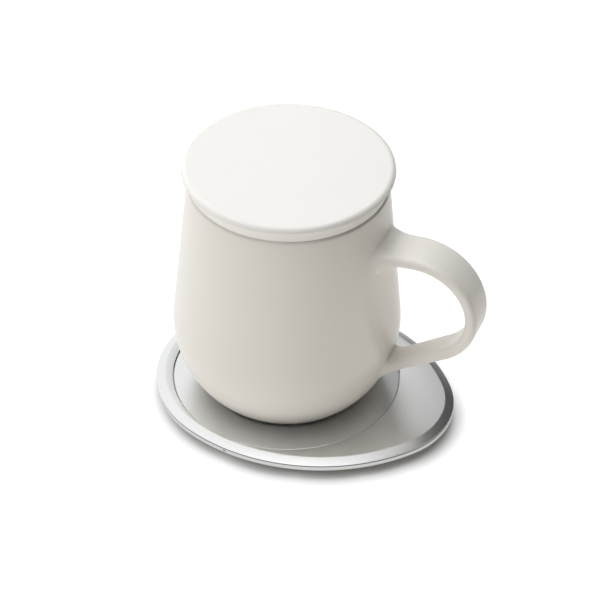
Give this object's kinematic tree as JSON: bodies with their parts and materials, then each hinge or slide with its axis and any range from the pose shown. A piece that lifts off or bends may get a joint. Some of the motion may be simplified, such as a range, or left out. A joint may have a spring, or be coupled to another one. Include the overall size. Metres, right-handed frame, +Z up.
{
  "type": "heated mug",
  "caption": "Lidded off-white ceramic mug with a strap handle on a slim oval induction warmer with a bevelled silver top, a round warming disc and a power inlet at the back",
  "frame": {"origin": "Centre of the cup's axis on the underside of the base pad, where the warmer stands", "axes": "+Z up along the cup's axis, +X along the warmer's long axis towards its nose and the cup's handle, +Y to the back with the power inlet"},
  "size_m": [0.1236, 0.0928, 0.105],
  "materials": {
    "glaze": "satin",
    "cover_ceramic": "matte",
    "silicone": "matte",
    "element_metal": "satin",
    "silver_shell": "satin",
    "silver_disc": "satin",
    "silver_tray": "satin",
    "grip_rubber": "matte",
    "screw_steel": "satin",
    "copper_wire": "satin",
    "ferrite": "matte",
    "carrier_plastic": "matte",
    "insulation": "matte",
    "wire_plastic": "matte",
    "board": "satin",
    "chip_plastic": "matte",
    "capacitor_ceramic": "matte",
    "thermal_rubber": "matte",
    "socket_steel": "satin",
    "led_plastic": "satin",
    "pipe_plastic": "gloss"
  },
  "bodies": {
    "warmer": {"top_shell": "silver_shell", "warming_disc": "silver_disc", "bottom_shell": "silver_tray", "base_pad": "grip_rubber", "shell_screws": "screw_steel", "coil": "copper_wire", "ferrite_disc": "ferrite", "coil_carrier": "carrier_plastic", "insulation_pad": "insulation", "thermistor": "chip_plastic", "thermistor_lead": "wire_plastic", "circuit_board": "board", "controller_chip": "chip_plastic", "power_transistors": "chip_plastic", "power_inductor": "ferrite", "resonant_capacitors": "capacitor_ceramic", "thermal_pad": "thermal_rubber", "usb_socket_shell": "socket_steel", "usb_tongue": "chip_plastic", "status_led": "led_plastic", "light_pipe": "pipe_plastic"},
    "mug": {"mug_body": "glaze", "heating_element": "element_metal", "foot_seal": "silicone", "foot_cover": "cover_ceramic"},
    "lid": {"lid": "glaze", "lid_seal": "silicone"}
  },
  "joints": [
    {"name": "mug_lift", "type": "slide", "parent": "warmer", "child": "mug", "axis": [0, 0, 1], "range_m": [0, 0.06]},
    {"name": "lid_lift", "type": "slide", "parent": "mug", "child": "lid", "axis": [0, 0, 1], "range_m": [0, 0.04]}
  ]
}
